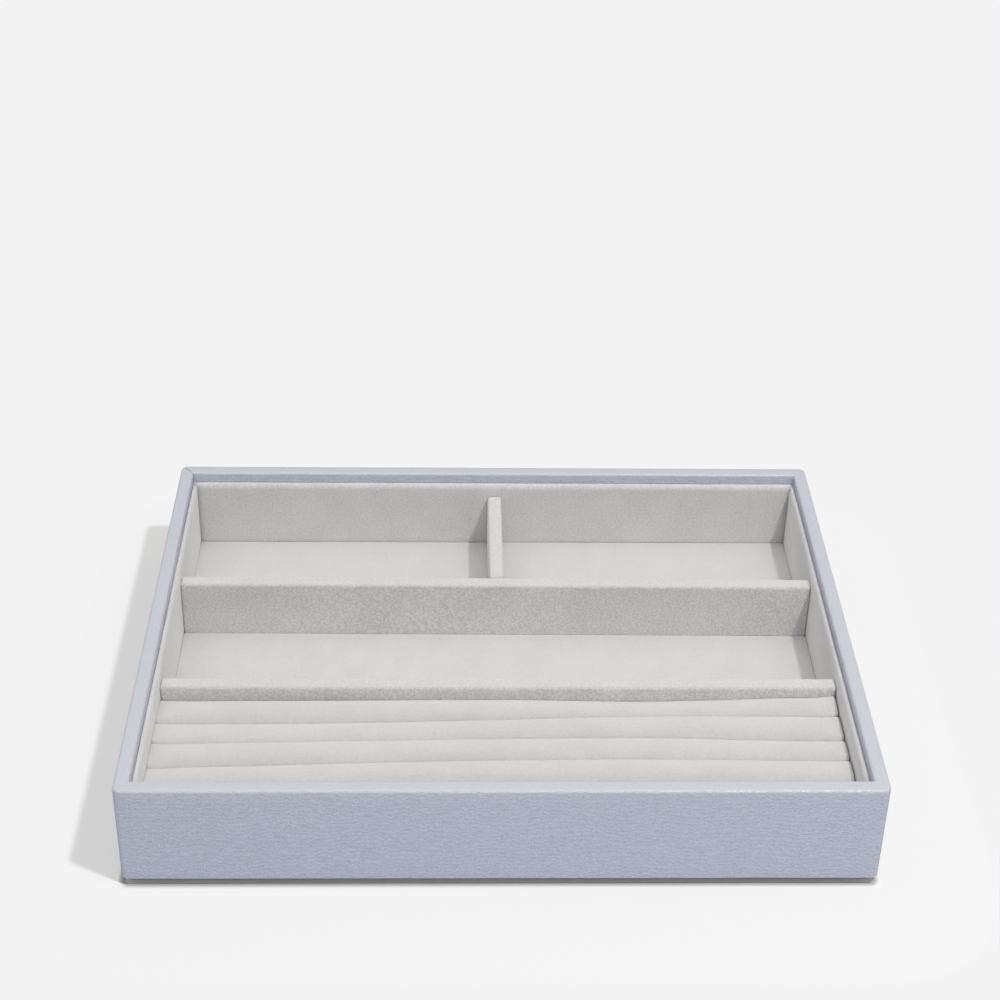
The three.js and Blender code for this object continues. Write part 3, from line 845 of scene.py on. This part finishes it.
# A close key lamp and a wide soft one overhead light the tray,
# and the floor takes its shadow from a lamp of its own
def addLights():
    for name, state in (("key", "EXCLUDE"), ("fill", "EXCLUDE"), ("floor", "INCLUDE")):
        lamp = bpy.data.objects.new(name + "Lamp", bpy.data.lights.new(name + "Lamp", "AREA"))
        lamp.data.shape = "DISK"
        lamp.data.size = lights[name + "Width"]
        lamp.data.energy = lights[name + "Watts"]
        lamp.data.color = lights[name + "Color"]
        lamp.location = lights[name + "Place"]
        lamp.rotation_euler = Vector(lights[name + "Place"]).to_track_quat("Z", "Y").to_euler()
        scene.collection.objects.link(lamp)
        receivers = bpy.data.collections.new(name + "Receivers")
        receivers.objects.link(floor)
        receivers.collection_objects[0].light_linking.link_state = state
        lamp.light_linking.receiver_collection = receivers


def addSky():
    world = bpy.data.worlds.new("studio")
    world.use_nodes = True
    scene.world = world
    tree = world.node_tree
    coord = addNode(tree, "ShaderNodeTexCoord")
    direction = addNode(tree, "ShaderNodeSeparateXYZ", {0: coord.outputs["Generated"]})
    level = remap(tree, direction.outputs["Z"], 0.0, 1.0, lights["skyLow"], lights["skyHigh"], "LINEAR")
    path = addNode(tree, "ShaderNodeLightPath")
    seen = math2(tree, "MAXIMUM", path.outputs["Is Camera Ray"], path.outputs["Is Transmission Ray"])
    color = mixColors(tree, seen, level, linear(*lights["backdrop"]))
    tree.links.new(color, tree.nodes["Background"].inputs["Color"])


addLights()
addSky()

# Camera fitted to the photo: its place in millimetres, its turns in degrees
view = {"place":(-17.96, -535.78, 480.22), "heading": -1.718, "tilt": 60.048, "roll": 1.23,
        "lens": 68.21, "sensor": 36.0, "shiftDown": 0.2, "clipStart": 0.01}


def addCamera():
    camera = bpy.data.objects.new("camera", bpy.data.cameras.new("camera"))
    camera.data.sensor_width = view["sensor"]
    camera.data.lens = view["lens"]
    camera.data.shift_y = -view["shiftDown"]
    camera.data.clip_start = view["clipStart"]
    camera.location = Vector(view["place"]) * mm
    turns = [Matrix.Rotation(math.radians(view[name]), 3, axis)
             for name, axis in (("heading", "Z"), ("tilt", "X"), ("roll", "Z"))]
    camera.rotation_euler = (turns[0] @ turns[1] @ turns[2]).to_euler()
    scene.collection.objects.link(camera)
    scene.camera = camera


addCamera()
scene.view_settings.view_transform = "Standard"
print("stage, light and camera set")
